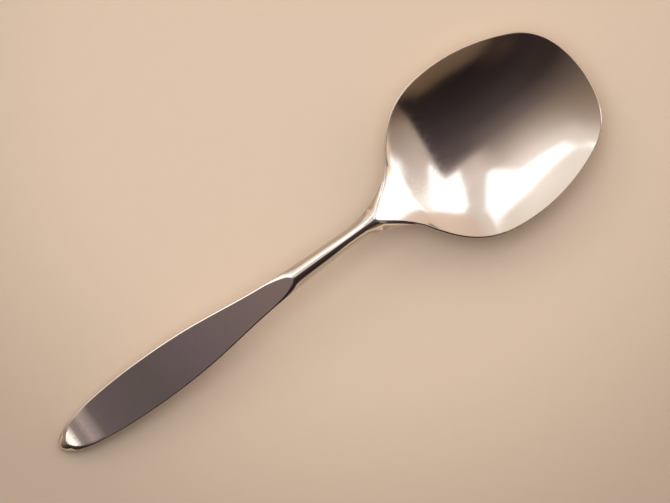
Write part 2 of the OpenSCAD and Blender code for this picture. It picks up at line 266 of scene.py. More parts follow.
    @cached_property
    def body(self) -> np.ndarray:
        """Draws the half outline of handle, neck, heel and the drop under the bowl.

        Returns:
            Rows of place and half width.
        """
        hw = self.handle_w / 2
        neck = self.neck_w / 2
        merge = float(self.rim_hw(self.merge_share * self.bowl_l))
        end = self.handle_l + self.drop_l
        nose_side = (*self.nose_shares, (self.widest_share, 1))
        waist_side = (*self.waist_shares, (self.neck_share, 0))
        controls = [(s * self.handle_l, t * hw) for s, t in nose_side]
        controls += [(s * self.handle_l, mix(neck, hw, t)) for s, t in waist_side]
        controls += [(mix(self.neck_x, self.merge_x, s), mix(neck, merge, t)) for s, t in self.flare_shares]
        controls += [(self.merge_x, merge)]
        controls += [(mix(self.merge_x, end, s), t * merge) for s, t in self.end_shares]
        return bezier_chain(controls)

    @cached_property
    def top(self) -> np.ndarray:
        """Draws the side view of the top, straight under the leaf face.

        Returns:
            Rows of place and height.
        """
        reach = self.pull_share * (self.handle_l - self.leaf_end)
        roll = self.pull_share * self.roll_l
        return bezier_chain([
            (0, self.nose_mid),
            (0, self.nose_mid * self.nose_top_share),
            (self.roll_l - roll, self.roll_h - roll * self.face_slope),
            (self.roll_l, self.roll_h),
            (mix(self.roll_l, self.leaf_end, 1 / 3), mix(self.roll_h, self.face_z, 1 / 3)),
            (mix(self.roll_l, self.leaf_end, 2 / 3), mix(self.roll_h, self.face_z, 2 / 3)),
            (self.leaf_end, self.face_z),
            (self.leaf_end + reach, self.face_z + reach * self.face_slope),
            (self.handle_l - reach, self.rim_z + reach * self.face_slope / 2),
            (self.handle_l, self.rim_z),
        ])

    @cached_property
    def bottom(self) -> np.ndarray:
        """Draws the side view of the bottom of the handle, from the nose to its widest place.

        Returns:
            Rows of place and height.
        """
        end_z = float(np.interp(self.widest_x, *self.top.T)) - self.handle_t
        pull = self.pull_share * (self.widest_x - self.nose_rest)
        return bezier_chain([
            (0, self.nose_mid),
            (0, self.nose_mid * self.nose_under_share),
            (self.nose_rest * self.pull_share, 0),
            (self.nose_rest, 0),
            (self.nose_rest + pull, 0),
            (self.widest_x - pull, end_z - pull * self.face_slope),
            (self.widest_x, end_z),
        ])

    @cached_property
    def thick(self) -> np.ndarray:
        """Draws the thickness of handle and neck from the widest place to the heel.

        Returns:
            Rows of place and thickness.
        """
        near, far = self.pull_share, 1 - self.pull_share
        return bezier_chain([
            (self.widest_x, self.handle_t),
            (mix(self.widest_x, self.neck_x, near), self.handle_t),
            (mix(self.widest_x, self.neck_x, far), self.neck_t),
            (self.neck_x, self.neck_t),
            (mix(self.neck_x, self.handle_l, near), self.neck_t),
            (mix(self.neck_x, self.handle_l, far), self.heel_t - self.heel_dip),
            (self.handle_l, self.heel_t),
        ])

    @cached_property
    def smoothed(self) -> np.ndarray:
        """Smooths the level top's half width and the top line along the spoon.

        Returns:
            Rows of place, half width of the level top and height of the top.
        """
        places = np.arange(0, self.handle_l + self.drop_l, self.fine_step)
        level = [self.leaf_hw(x) + self.seat_hw(x) for x in places]
        top = [self.top_z(x) for x in places]
        rows = [places]
        for values, reach in ((level, self.crest_blur), (top, self.brow_blur)):
            count = round(reach / self.fine_step)
            weights = 1 + np.cos(math.pi * np.linspace(-1, 1, 2 * count + 1))
            padded = np.pad(values, count, mode="edge")
            rows.append(np.convolve(padded, weights / weights.sum(), mode="valid"))
        return np.column_stack(rows)

    @property
    def outer_depth(self) -> float:
        """Depth of the underside below the lower edge of the rim."""
        return self.bowl_depth + self.bowl_wall - self.rim_t

    @property
    def face_z(self) -> float:
        """Height of the back end of the leaf face."""
        return self.rim_z + self.crest

    @property
    def face_slope(self) -> float:
        """Rise of the leaf face along the handle."""
        return (self.face_z - self.roll_h) / (self.leaf_end - self.roll_l)

    @property
    def middle(self) -> float:
        """Half of the whole length, where the frame has its origin."""
        return (self.handle_l + self.bowl_l) / 2

    def rim_hw(self, x: Number) -> Number:
        """Half width of the rim at a place measured from the heel."""
        return np.interp(x / self.bowl_l, *self.rim_line.T) * self.bowl_w / 2

    def rim_height(self, x: Number) -> Number:
        """Height of the rim at a place measured from the heel."""
        return self.rim_z - self.rim_drop * np.interp(x / self.bowl_l, *self.sheer.T)

    def underside(self, x: Number, y: Number) -> Number:
        """Works out the height of the bowl's underside.

        Args:
            x: Distance from the heel.
            y: Distance from the axis.

        Returns:
            The height, zero on the flat on which the bowl rests.
        """
        hw = np.maximum(self.rim_hw(x), 1e-6)
        across = 1 - np.minimum(np.abs(y) / hw, 1) ** 2
        fall = self.outer_depth * np.interp(x / self.bowl_l, *self.depth.T) * across
        return np.maximum(0, self.rim_height(x) - self.rim_t - fall)

    def body_hw(self, x: Number) -> Number:
        """Half width of handle, neck or heel."""
        return np.interp(x, *self.body.T)

    def leaf_hw(self, x: float) -> float:
        """Works out the half width of the leaf face.

        Args:
            x: Distance from the nose.

        Returns:
            The half width, zero outside the leaf.
        """
        if x <= self.leaf_front or x >= self.leaf_end:
            return 0.0
        nose = ease((self.leaf_front + self.leaf_nose_l - x) / self.leaf_nose_l, 3)
        tip = ease((x - self.leaf_end + self.leaf_tip_l) / self.leaf_tip_l, 2)
        return float((self.body_hw(x) - self.leaf_edge) * nose * tip)

    def seat_hw(self, x: float) -> float:
        """Half width of the seat under the heel of the bowl, zero in the neck."""
        place_on = x - self.handle_l + self.seam
        return 0.0 if place_on <= 0 else float(self.rim_hw(place_on)) + self.seam

    def crest_hw(self, x: float) -> float:
        """Half width of the level top, which opens at the leaf's end and at the rim's point."""
        level = float(np.interp(x, self.smoothed[:, 0], self.smoothed[:, 1]))
        return min(level, float(self.body_hw(x)) - self.drop_t / 2)

    def brow_z(self, x: float) -> float:
        """Height of the top line, smoothed over the rim's point."""
        return float(np.interp(x, self.smoothed[:, 0], self.smoothed[:, 2]))

    def top_z(self, x: float) -> float:
        """Height of the top line.

        Args:
            x: Distance from the nose.

        Returns:
            The height of the handle and neck, and past the heel that of the rim.
        """
        if x > self.handle_l:
            return float(self.rim_height(x - self.handle_l))
        return float(np.interp(x, *self.top.T))

    def bottom_z(self, x: float) -> float:
        """Height of the bottom line of handle, neck and heel.

        Args:
            x: Distance from the nose.

        Returns:
            The height, and past the heel that of the drop under the bowl.
        """
        if x < self.widest_x:
            return float(np.interp(x, *self.bottom.T))
        if x <= self.handle_l:
            return self.top_z(x) - float(np.interp(x, *self.thick.T))
        left = 1 - (x - self.handle_l) / self.drop_l
        under = mix(self.drop_t, self.heel_t - self.rim_t - self.seam, left**self.drop_power)
        return float(self.underside(x - self.handle_l, 0.0)) - self.seam - under

    def mid_z(self, x: float) -> float:
        """Height of the widest line of handle, neck and heel.

        Args:
            x: Distance from the nose.

        Returns:
            The height.
        """
        u = (x - self.handle_l) / (self.merge_x - self.handle_l)
        if x <= self.neck_x:
            turn = smooth((x - self.leaf_end + self.leaf_tip_l) / self.leaf_tip_l)
            return mix(self.top_z(x), self.bottom_z(x), mix(self.mid_share, self.neck_mid_share, turn))
        if u <= 0:
            return self.brow_z(x) - self.neck_mid_share * float(np.interp(x, *self.thick.T))
        if u <= 1:
            heel, merged = self.heel_t * self.neck_mid_share, self.rim_t + self.seam + self.drop_t
            flank = (1 - (2 * u - 1) ** 2) ** 2 * self.flank_h
            return self.brow_z(x) - mix(heel, merged, smooth(u)) - flank
        return float(self.underside(x - self.handle_l, self.body_hw(x))) - self.seam - self.drop_t

    def upper_z(self, x: float, y: np.ndarray) -> np.ndarray:
        """Height of the upper side of handle, neck and heel, without the seat.

        Args:
            x: Distance from the nose.
            y: Distances from the axis.

        Returns:
            The height at each distance.
        """
        hw, crest = float(self.body_hw(x)), self.crest_hw(x)
        share = np.clip((np.abs(y) - crest) / (hw - crest), 0, 1)
        if x < self.neck_x:
            return self.top_z(x) - self.side_fall(x, share, hw - crest, self.top_z(x) - self.mid_z(x))
        brow = self.brow_z(x)
        lowered = self.lip_h * smooth((x - self.handle_l) / self.brow_blur)
        skip = self.lip_skip * smooth(crest / self.lip_w)
        fall = self.side_fall(x, share, hw - crest, brow - self.mid_z(x), skip)
        return brow - lowered * (1 - share**4) - fall

    def side_fall(
        self, x: float, share: np.ndarray, width: float, depth: float, skip: float = 0.0
    ) -> np.ndarray:
        """Fall of the polished side below the top line, from how steeply it turns.

        It goes round the nose, has a narrow bevel beside the leaf, and falls evenly from the crest of the
        neck and more steeply beside the heel.

        Args:
            x: Distance from the nose.
            share: Place across the side, 0 at the leaf's edge or the crest and 1 at the widest line.
            width: Width of the side in millimetres.
            depth: Whole fall in millimetres.
            skip: Part of the crest's round that is left out beside the rim's point.

        Returns:
            The fall in millimetres at each place.
        """
        s = np.linspace(0, 1, self.side_steps + 1)
        tables = (self.bevel_turn, self.nose_turn, self.neck_turn)
        bevel, nose, neck = (np.interp(s, *np.transpose(table)) for table in tables)
        heel = np.interp(s * width / (self.neck_w / 2) + skip, *np.transpose(self.heel_turn))
        leaf = smooth((self.leaf_end + self.tip_fade_past - x) / self.tip_fade_l)
        if x < self.widest_x:
            leaf = smooth(self.crest_hw(x) / float(self.body_hw(x)) / self.leaf_fade_share)
        grown = mix(self.bevel_least_share, 1, smooth((x - self.bevel_start) / self.bevel_grow_l))
        turn = mix(nose, neck, smooth((x - self.widest_x) / self.neck_fade_l))
        turn = mix(turn, bevel * grown, leaf)
        turn = mix(turn, heel, smooth((x - self.neck_x + self.heel_fade_l) / self.heel_fade_l))
        run = np.tan(np.radians(turn))
        fall = width * np.r_[0, np.cumsum((run[1:] + run[:-1]) / 2) / self.side_steps]
        fall = fall * min(1, self.most_fall_share * depth / fall[-1])
        left = ease(s, mix(self.side_power, self.bevel_power, leaf))
        return np.interp(share, s, fall + (depth - fall[-1]) * (1 - left))


def add_node(
    tree: bpy.types.NodeTree, kind: str, links: dict | None = None, **settings: str | bool
) -> bpy.types.Node:
    """Adds one node with its settings and links.

    Args:
        tree: Tree that gets the node.
        kind: Blender's name for the node type.
        links: For each input, by name or number, the value that it holds or the socket that feeds it.
        **settings: Properties of the node itself.

    Returns:
        The new node.
    """
    node = tree.nodes.new(kind)
    for key, value in settings.items():
        setattr(node, key, value)
    for key, value in (links or {}).items():
        live = [k for k in node.inputs if k.enabled]
        socket = node.inputs[key] if isinstance(key, int) else next(k for k in live if k.name == key)
        if isinstance(value, bpy.types.NodeSocket):
            tree.links.new(value, socket)
        else:
            socket.default_value = value
    return node


@dataclass(frozen=True)
class Signal:
    """A number that runs through a node tree, so that a rule can be written as a formula."""

    tree: bpy.types.NodeTree
    socket: bpy.types.NodeSocket

    def through(self, operation: str, other: "Signal | float" = 0.0, swapped: bool = False) -> "Signal":
        """Sends the number through one operation.

        Args:
            operation: Blender's name for the operation.
            other: Second number of the operation, where it has one.
            swapped: Whether the second number goes first.

        Returns:
            The result.
        """
        pair = [self.socket, other.socket if isinstance(other, Signal) else other]
        order = pair[::-1] if swapped else pair
        node = add_node(self.tree, "ShaderNodeMath", dict(enumerate(order)), operation=operation)
        return Signal(self.tree, node.outputs[0])

    def __add__(self, other: "Signal | float") -> "Signal":
        """Sum with another number."""
        return self.through("ADD", other)

    def __sub__(self, other: "Signal | float") -> "Signal":
        """Difference from another number."""
        return self.through("SUBTRACT", other)

    def __rsub__(self, other: float) -> "Signal":
        """What is left of a plain number."""
        return self.through("SUBTRACT", other, swapped=True)

    def __mul__(self, other: "Signal | float") -> "Signal":
        """Product with another number."""
        return self.through("MULTIPLY", other)

    def __truediv__(self, other: "Signal | float") -> "Signal":
        """Quotient by another number."""
        return self.through("DIVIDE", other)


def fill_ramp(ramp: bpy.types.ColorRamp, stops: Stops, low: float, high: float) -> None:
    """Gives a colour ramp its stops.

    Args:
        ramp: New ramp with its first two stops.
        stops: Values in rising order, with their colours.
        low: Value at the ramp's start.
        high: Value at the ramp's end.
    """
    for _ in stops[2:]:
        ramp.elements.new(1.0)
    for element, (value, colour) in zip(ramp.elements, stops):
        element.position = (value - low) / (high - low)
        element.color = linear(colour)


def closed_loft(
    name: str,
    sections: list[np.ndarray],
    middle: float,
    first: Point | None = None,
    last: Point | None = None,
) -> bpy.types.Mesh:
    """Joins sections of equally many points into a closed mesh in metres, in the frame of the CAD.

    Args:
        name: Name of the mesh.
        sections: One array of x, y and z rows for each section, in millimetres from the nose.
        middle: Distance from the nose to the origin of the frame.
        first: Point that closes the first section, or None for a flat end.
        last: Point that closes the last section, or None for a flat end.

    Returns:
        The mesh. The faces between two sections come first, in the order of the sections' points.
    """
    m, n = len(sections), len(sections[0])
    tips = [np.array([p], float) for p in (first, last) if p is not None]
    index = np.arange(m * n).reshape(m, n)
    turned = np.roll(index, -1, axis=1)
    walls = np.stack([index[:-1], turned[:-1], turned[1:], index[1:]], axis=-1).reshape(-1, 4)
    faces = [tuple(w) for w in walls.tolist()]
    tip_index = m * n
    for row, tip in ((index[0].tolist(), first), (index[-1].tolist(), last)):
        if tip is None:
            pairs = [(row[j], row[j + 1], row[n - 2 - j], row[n - 1 - j]) for j in range(n // 2 - 1)]
            faces += pairs + ([(row[n // 2 - 1], row[n // 2], row[n // 2 + 1])] if n % 2 else [])
        else:
            faces += [(tip_index, row[j], row[(j + 1) % n]) for j in range(n)]
            tip_index += 1
    points = (np.vstack(sections + tips) - np.array([middle, 0, 0])) * MM
    mesh = bpy.data.meshes.new(name)
    mesh.from_pydata(points.tolist(), [], faces)
    return mesh


def settle(mesh: bpy.types.Mesh, crisp: float) -> bpy.types.Mesh:
    """Merges doubled points, turns the faces outwards and smooths all but the crisp edges.

    Args:
        mesh: Closed mesh in metres.
        crisp: Angle in degrees from which an edge stays crisp.

    Returns:
        The same mesh.
    """
    work = bmesh.new()
    work.from_mesh(mesh)
    bmesh.ops.remove_doubles(work, verts=work.verts, dist=2e-6)
    bmesh.ops.dissolve_degenerate(work, edges=work.edges, dist=1e-7)
    bmesh.ops.recalc_face_normals(work, faces=work.faces)
    work.to_mesh(mesh)
    work.free()
    mesh.polygons.foreach_set("use_smooth", [True] * len(mesh.polygons))
    mesh.set_sharp_from_angle(angle=math.radians(crisp))
    mesh.update()
    return mesh


def add_object(name: str, data: bpy.types.ID) -> bpy.types.Object:
    """Adds an object to the scene, at the origin and unturned.

    Args:
        name: Name of the object.
        data: Mesh, light or camera that it shows.

    Returns:
        The new object.
    """
    thing = bpy.data.objects.new(name, data)
    bpy.context.scene.collection.objects.link(thing)
    return thing


def place(
    mesh: bpy.types.Mesh, materials: list[bpy.types.Material], node: str, slot: str
) -> bpy.types.Object:
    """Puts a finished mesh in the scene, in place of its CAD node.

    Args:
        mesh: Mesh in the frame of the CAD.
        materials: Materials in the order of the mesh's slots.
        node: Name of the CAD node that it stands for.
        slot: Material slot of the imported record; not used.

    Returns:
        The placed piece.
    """
    piece = add_object(mesh.name, mesh)
    for material in materials:
        mesh.materials.append(material)
    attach(piece, "root")
    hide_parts(node)
    LOG.info("%s: %d faces, stands for %s", piece.name, len(mesh.polygons), node)
    return piece


@dataclass(frozen=True)
class Finish:
    """What all finishes share: a tree that reads Object coordinates and ends in one shader."""

    name: str = "finish"

    def start(self) -> tuple[bpy.types.Material, bpy.types.NodeTree, bpy.types.NodeSocket]:
        """Starts the material.

        Returns:
            The material, its tree and the socket with the Object coordinates.
        """
        material = bpy.data.materials.new(self.name)
        material.use_nodes = True
        tree = material.node_tree
        tree.nodes.clear()
        return material, tree, add_node(tree, "ShaderNodeTexCoord").outputs["Object"]

    def end(self, tree: bpy.types.NodeTree, looks: dict) -> None:
        """Ends the tree in one shader.

        Args:
            tree: Tree of the material.
            looks: For each input of the shader, the value or the socket that feeds it.
        """
        shader = add_node(tree, "ShaderNodeBsdfPrincipled", looks)
        add_node(tree, "ShaderNodeOutputMaterial", {"Surface": shader.outputs[0]})


@dataclass(frozen=True)
class LinedSteel(Finish):
    """What both steels share: fine lines along the spoon, which the eye gets as a streaked sheen."""

    roughness: float = 0.1
    roughness_spread: float = 0.1
    line_gap: float = 0.5
    line_l: float = 20.0
    line_depth: float = 0.001
    line_detail: float = 5.0
    line_band: tuple[float, float] = (0.3, 0.7)

    def draw_lines(
        self, tree: bpy.types.NodeTree, place_in: bpy.types.NodeSocket
    ) -> tuple[bpy.types.NodeSocket, bpy.types.NodeSocket, bpy.types.NodeSocket]:
        """Draws the lines.

        Args:
            tree: Tree of the material.
            place_in: Socket with the Object coordinates.

        Returns:
            The sockets with the lines, with their roughness and with their bump.
        """
        # The real lines are far finer than a pixel of the photo, so they are drawn coarser to show at all
        stretch = (1 / (self.line_l * MM), 1 / (self.line_gap * MM), 1 / (self.line_gap * MM))
        lengthwise = add_node(tree, "ShaderNodeMapping", {"Vector": place_in, "Scale": stretch})
        noise = {"Vector": lengthwise.outputs[0], "Scale": 1.0, "Detail": self.line_detail}
        lines = add_node(tree, "ShaderNodeTexNoise", noise).outputs[0]
        wear = {
            "Value": lines,
            "From Min": self.line_band[0],
            "From Max": self.line_band[1],
            "To Min": self.roughness,
            "To Max": self.roughness + self.roughness_spread,
        }
        worn = add_node(tree, "ShaderNodeMapRange", wear)
        grooves = {"Height": lines, "Distance": self.line_depth * MM, "Strength": 1.0}
        bump = add_node(tree, "ShaderNodeBump", grooves)
        return lines, worn.outputs[0], bump.outputs[0]


@dataclass(frozen=True)
class PolishedSteel(LinedSteel):
    """18/10 stainless steel, buffed to a mirror and then wiped many times.

    The eye gets clear, slightly softened reflections with a warm tint, and faint wiping lines along the
    spoon. Real wiping lines are a few hundredths of a millimetre wide and are drawn ten times coarser.
    """

    name: str = "polished_stainless_steel"
    light: str = "d2cdc8"
    deep: str = "c6c0ba"
    cloud: float = 22.0
    roughness: float = 0.1
    roughness_spread: float = 0.07
    line_gap: float = 0.55
    line_l: float = 22.0
    line_depth: float = 0.0012
    line_detail: float = 5.0
    line_band: tuple[float, float] = (0.35, 0.7)

    def make(self) -> bpy.types.Material:
        """Builds the material.

        Returns:
            The new material.
        """
        material, tree, place_in = self.start()
        _, worn, bump = self.draw_lines(tree, place_in)
        mottle = {"Vector": place_in, "Scale": 1 / (self.cloud * MM), "Detail": 3.0}
        cloud = add_node(tree, "ShaderNodeTexNoise", mottle)
        tones = {0: cloud.outputs[0], 6: linear(self.light), 7: linear(self.deep)}
        tone = add_node(tree, "ShaderNodeMix", tones, data_type="RGBA")
        self.end(tree, {"Base Color": tone.outputs[2], "Metallic": 1.0, "Roughness": worn, "Normal": bump})
        return material


@dataclass(frozen=True)
class SatinSteel(LinedSteel):
    """18/10 stainless steel, brushed along the handle with a fine wheel.

    The eye gets a dark grey sheen, broken by fine straight lines along the handle. Its colour carries
    painted
    reflection by place: a painted highlight at the nose tip, a painted light band just behind it, and tones
    that lighten towards the neck; near the nose the wheel also left the face smoother. The real grit leaves
    lines of about 0.05 mm, which are drawn six times coarser. The painted tones belong to places in the
    frame, in millimetres.
    """

    name: str = "satin_brushed_stainless_steel"
    # Painted reflection: colours along the leaf that stand in for its reflected light, with a painted
    # highlight and a painted light band near the nose and lighter tones towards the neck.
    painted_sheen_x: Stops = (
        (-111.0, "e6e2e3"), (-107.0, "e6e2e3"), (-106.0, "c0babd"), (-104.5, "c0babd"), (-102.0, "f0eaec"),
        (-99.5, "d6d0d2"), (-97.0, "a09aa0"), (-92.0, "9b959c"), (-72.0, "9a969a"), (-55.0, "aba2ae"),
        (-38.0, "b6adb1"), (-22.0, "c3b5b8"), (-10.0, "c8bbbd"),
    )
    streak: float = 0.06
    buffed_x: tuple[float, float] = (-108.5, -105.0)
    buffed_share: float = 0.45
    roughness: float = 0.3
    roughness_spread: float = 0.12
    line_gap: float = 0.3
    line_l: float = 14.0
    line_depth: float = 0.004
    line_detail: float = 4.0
    line_band: tuple[float, float] = (0.3, 0.7)
    streak_band: tuple[float, float] = (0.35, 0.65)

    def make(self) -> bpy.types.Material:
        """Builds the material.

        Returns:
            The new material.
        """
        material, tree, place_in = self.start()
        lines, worn, bump = self.draw_lines(tree, place_in)
        x = add_node(tree, "ShaderNodeSeparateXYZ", {0: place_in}).outputs[0]
        low, high = self.painted_sheen_x[0][0], self.painted_sheen_x[-1][0]
        reach = {"Value": x, "From Min": low * MM, "From Max": high * MM}
        share = add_node(tree, "ShaderNodeMapRange", reach)
        # Painted reflection along the leaf, read from the stops by place.
        sheen_ramp = add_node(tree, "ShaderNodeValToRGB", {"Fac": share.outputs[0]})
        fill_ramp(sheen_ramp.color_ramp, self.painted_sheen_x, low, high)
        streaks = {
            "Value": lines,
            "From Min": self.streak_band[0],
            "From Max": self.streak_band[1],
            "To Min": 1 + self.streak,
            "To Max": 1 - self.streak,
        }
        streak = add_node(tree, "ShaderNodeMapRange", streaks)
        scaled = {0: sheen_ramp.outputs[0], "Scale": streak.outputs[0]}
        tone = add_node(tree, "ShaderNodeVectorMath", scaled, operation="SCALE")
        start, end = self.buffed_x
        smoother = {"Value": x, "From Min": start * MM, "From Max": end * MM, "To Min": self.buffed_share}
        buffed = add_node(tree, "ShaderNodeMapRange", smoother)
        grit = Signal(tree, worn) * Signal(tree, buffed.outputs[0])
        looks = {"Base Color": tone.outputs[0], "Metallic": 1.0, "Roughness": grit.socket, "Normal": bump}
        self.end(tree, looks)
        return material


@dataclass(frozen=True)
class SetCement(Finish):
    """Resin and chalk cement, poured into the handle and set.

    The eye would get a dull buff mass with grains and small pores, if the handle were cut open.
    """

    name: str = "set_handle_cement"
    light: str = "b9ae98"
    deep: str = "8f836c"
    grain: float = 0.8
    pore_depth: float = 0.05
    roughness: float = 0.85

    def make(self) -> bpy.types.Material:
        """Builds the material.

        Returns:
            The new material.
        """
        material, tree, place_in = self.start()
        grains = add_node(tree, "ShaderNodeTexNoise", {"Vector": place_in, "Scale": 1 / (self.grain * MM)})
        tones = {0: grains.outputs[0], 6: linear(self.light), 7: linear(self.deep)}
        tone = add_node(tree, "ShaderNodeMix", tones, data_type="RGBA")
        pores = {"Height": grains.outputs[0], "Distance": self.pore_depth * MM, "Strength": 1.0}
        bump = add_node(tree, "ShaderNodeBump", pores)
        looks = {"Base Color": tone.outputs[2], "Roughness": self.roughness, "Normal": bump.outputs[0]}
        self.end(tree, looks)
        return material


@dataclass(frozen=True)
class BuffPaper(Finish):
    """Matt buff drawing paper, pressed smooth.

    The eye gets a warm even ground with the faintest mottle; its colour darkens away from a lit centre,
    as painted shade for the falloff of the light.
    """

    name: str = "buff_drawing_paper"
    light: str = "ddc4ac"
    deep: str = "dac1a9"
    fibre: float = 6.0
    # Painted shade for the light's falloff: how dark the paper's colour gets, over which distances from the
    # lit centre.
    falloff_shade: float = 0.72
    falloff_reach: tuple[float, float] = (100.0, 200.0)
    lit_centre: Point = (53.0, 50.0, 0.0)
    roughness: float = 0.9
    shine: float = 0.1

    def make(self) -> bpy.types.Material:
        """Builds the material.

        Returns:
            The new material.
        """
        material, tree, place_in = self.start()
        mottles = {"Vector": place_in, "Scale": 1 / (self.fibre * MM), "Detail": 6.0}
        mottle = add_node(tree, "ShaderNodeTexNoise", mottles)
        tones = {0: mottle.outputs[0], 6: linear(self.light), 7: linear(self.deep)}
        tone = add_node(tree, "ShaderNodeMix", tones, data_type="RGBA")
        # Painted shade: the paper's colour darkens smoothly away from this centre, standing in for the
        # light's falloff.
        centre = tuple(k * MM for k in self.lit_centre)
        away = add_node(tree, "ShaderNodeVectorMath", {0: place_in, 1: centre}, operation="DISTANCE")
        falloff_map = {
            "Value": away.outputs["Value"],
            "From Min": self.falloff_reach[0] * MM,
            "From Max": self.falloff_reach[1] * MM,
            "To Min": 1.0,
            "To Max": self.falloff_shade,
        }
        edge = add_node(tree, "ShaderNodeMapRange", falloff_map, interpolation_type="SMOOTHSTEP")
        scaled = {0: tone.outputs[2], "Scale": edge.outputs[0]}
        shade = add_node(tree, "ShaderNodeVectorMath", scaled, operation="SCALE")
        looks = {
            "Base Color": shade.outputs[0],
            "Roughness": self.roughness,
            "Specular IOR Level": self.shine,
        }
        self.end(tree, looks)
        return material


@dataclass
class Bowl:
    """The pressed bowl, made by a Geometry Nodes tree that bends a grid of rings to the bowl's rule."""

    lines: SpoonLines
    around: int = 560
    under_rings: int = 46
    inside_rings: int = 84
    profile_points: int = 4001
    centre_share: float = 0.56
    under_power: float = 0.9
    edge_shares: tuple[float, ...] = (0.85, 0.65)
    near_lip: tuple[float, ...] = (0.997, 0.992)
    inside_start: float = 0.986
    easing_start: float = 0.86
    lip: Pairs = (
        (0, 0.37), (0.03, 0.32), (0.1, 0.275), (0.3, 0.195), (0.53, 0.1), (0.69, 0.03), (0.78, 0),
        (0.86, 0.014), (0.93, 0.055), (1, 0.12),
    )
    crisp: float = 60.0

    def rings(self) -> tuple[np.ndarray, np.ndarray]:
        """Rows of the grid, from the middle of the underside over the rim to the middle of the inside.

        Returns:
            For each ring its share towards the inner outline, its share of the way out and its depth below
            the rim's top in metres, and the face of the bowl that it lies on.
        """
        under = np.sin(np.linspace(0, math.pi / 2, self.under_rings)) ** self.under_power
        rows = [(0.0, s, self.lines.rim_t, Face.UNDER) for s in under]
        rows += [(0.0, 1.0, self.lines.rim_t * t, Face.INSIDE) for t in self.edge_shares]
        rows += [(t, 1.0, depth, Face.INSIDE) for t, depth in self.lip]
        inside = np.r_[self.near_lip, np.linspace(self.inside_start, 0, self.inside_rings)]
        past = (inside - self.easing_start) / (1 - self.easing_start)
        easing = self.lip[-1][1] * np.clip(past, 0, 1) ** 2
        rows += [(1.0, s, depth, Face.INSIDE) for s, depth in zip(inside, easing)]
        shape = np.array([(r[0], r[1], r[2] * MM) for r in rows])
        return shape, np.array([r[3].value for r in rows], float)

    def tables(self) -> bpy.types.Object:
        """Mesh whose points carry the outline, the profile and the rings that the tree reads.

        Returns:
            The object that gets the modifier.
        """
        half = self.lines.rim_line
        size = np.array([self.lines.bowl_l, self.lines.bowl_w / 2])
        run = np.r_[0, np.cumsum(np.linalg.norm(np.diff(half * size, axis=0), axis=1))]
        even = np.linspace(0, run[-1], self.around // 2 + 1)
        side = np.c_[np.interp(even, run, half[:, 0]), np.interp(even, run, half[:, 1])]
        outline = np.vstack([side, side[-2:0:-1] * [1, -1]])
        u = np.linspace(0, 1, self.profile_points)
        curves = (self.lines.rim_line, self.lines.depth, self.lines.sheer)
        profile = np.column_stack([np.interp(u, *curve.T) for curve in curves])
        ring, face = self.rings()
        mesh = bpy.data.meshes.new("bowl_tables")
        mesh.from_pydata(np.zeros((self.profile_points, 3)).tolist(), [], [])
        tables = {"outline": outline, "profile": profile, "ring": ring, "face": face[:, None]}
        for name, rows in tables.items():
            full = np.zeros((self.profile_points, 3))
            full[: len(rows), : rows.shape[1]] = rows
            mesh.attributes.new(name, "FLOAT_VECTOR", "POINT").data.foreach_set("vector", full.ravel())
        return add_object("bowl_tables", mesh)

    def tree(self) -> tuple[bpy.types.NodeTree, dict[str, float]]:
        """Builds the tree that lofts the bowl.

        Returns:
            The tree, and for each of its named inputs the length in metres, share or count of this bowl.
        """
        line = self.lines
        sizes = {
            "Length": line.bowl_l * MM,
            "Half Width": line.bowl_w / 2 * MM,
            "Hollow Start": line.hollow_start * MM,
            "Rim Width": line.rim_w * MM,
            "Rim Height": line.rim_z * MM,
            "Rim Drop": line.rim_drop * MM,
            "Depth Inside": line.bowl_depth * MM,
            "Depth Under": line.outer_depth * MM,
            "Heel Place": (line.handle_l - line.middle) * MM,
            "Centre Share": self.centre_share,
            "Points Around": float(self.around),
            "Profile Points": float(self.profile_points),
        }
        tree = bpy.data.node_groups.new("bowl_by_rule", "GeometryNodeTree")
        tree.interface.new_socket("Geometry", in_out="INPUT", socket_type="NodeSocketGeometry")
        for name in sizes:
            tree.interface.new_socket(name, in_out="INPUT", socket_type="NodeSocketFloat")
        tree.interface.new_socket("Rings", in_out="INPUT", socket_type="NodeSocketInt")
        tree.interface.new_socket("Columns", in_out="INPUT", socket_type="NodeSocketInt")
        tree.interface.new_socket("Finish", in_out="INPUT", socket_type="NodeSocketMaterial")
        tree.interface.new_socket("Geometry", in_out="OUTPUT", socket_type="NodeSocketGeometry")
        given = add_node(tree, "NodeGroupInput").outputs
        size = {name: Signal(tree, given[name]) for name in sizes}

        def look_up(table: str, index: Signal) -> list[Signal]:
            """Reads a row of a table.

            Args:
                table: Name of the table.
                index: Number of the row.

            Returns:
                The row's three numbers.
            """
            kind = "FLOAT_VECTOR"
            column = add_node(tree, "GeometryNodeInputNamedAttribute", {"Name": table}, data_type=kind)
            values = next(k for k in column.outputs if k.enabled and k.name == "Attribute")
            links = {"Geometry": given["Geometry"], "Value": values, "Index": index.socket}
            row = add_node(tree, "GeometryNodeSampleIndex", links, data_type=kind, clamp=True)
            picked = next(k for k in row.outputs if k.enabled)
            numbers = add_node(tree, "ShaderNodeSeparateXYZ", {0: picked}).outputs
            return [Signal(tree, number) for number in numbers]

        def profile(share: Signal) -> list[Signal]:
            """Reads the three drawn curves between two rows of their table.

            Args:
                share: Share of the length.

            Returns:
                The shares of the half width, of the depth and of the rim's fall.
            """
            last = size["Profile Points"] - 1.0
            place_on = (share * last).through("MAXIMUM", 0.0).through("MINIMUM", last)
            low = place_on.through("FLOOR")
            past = place_on - low
            rows = (look_up("profile", low), look_up("profile", low + 1.0))
            return [mix(a, b, past) for a, b in zip(*rows)]

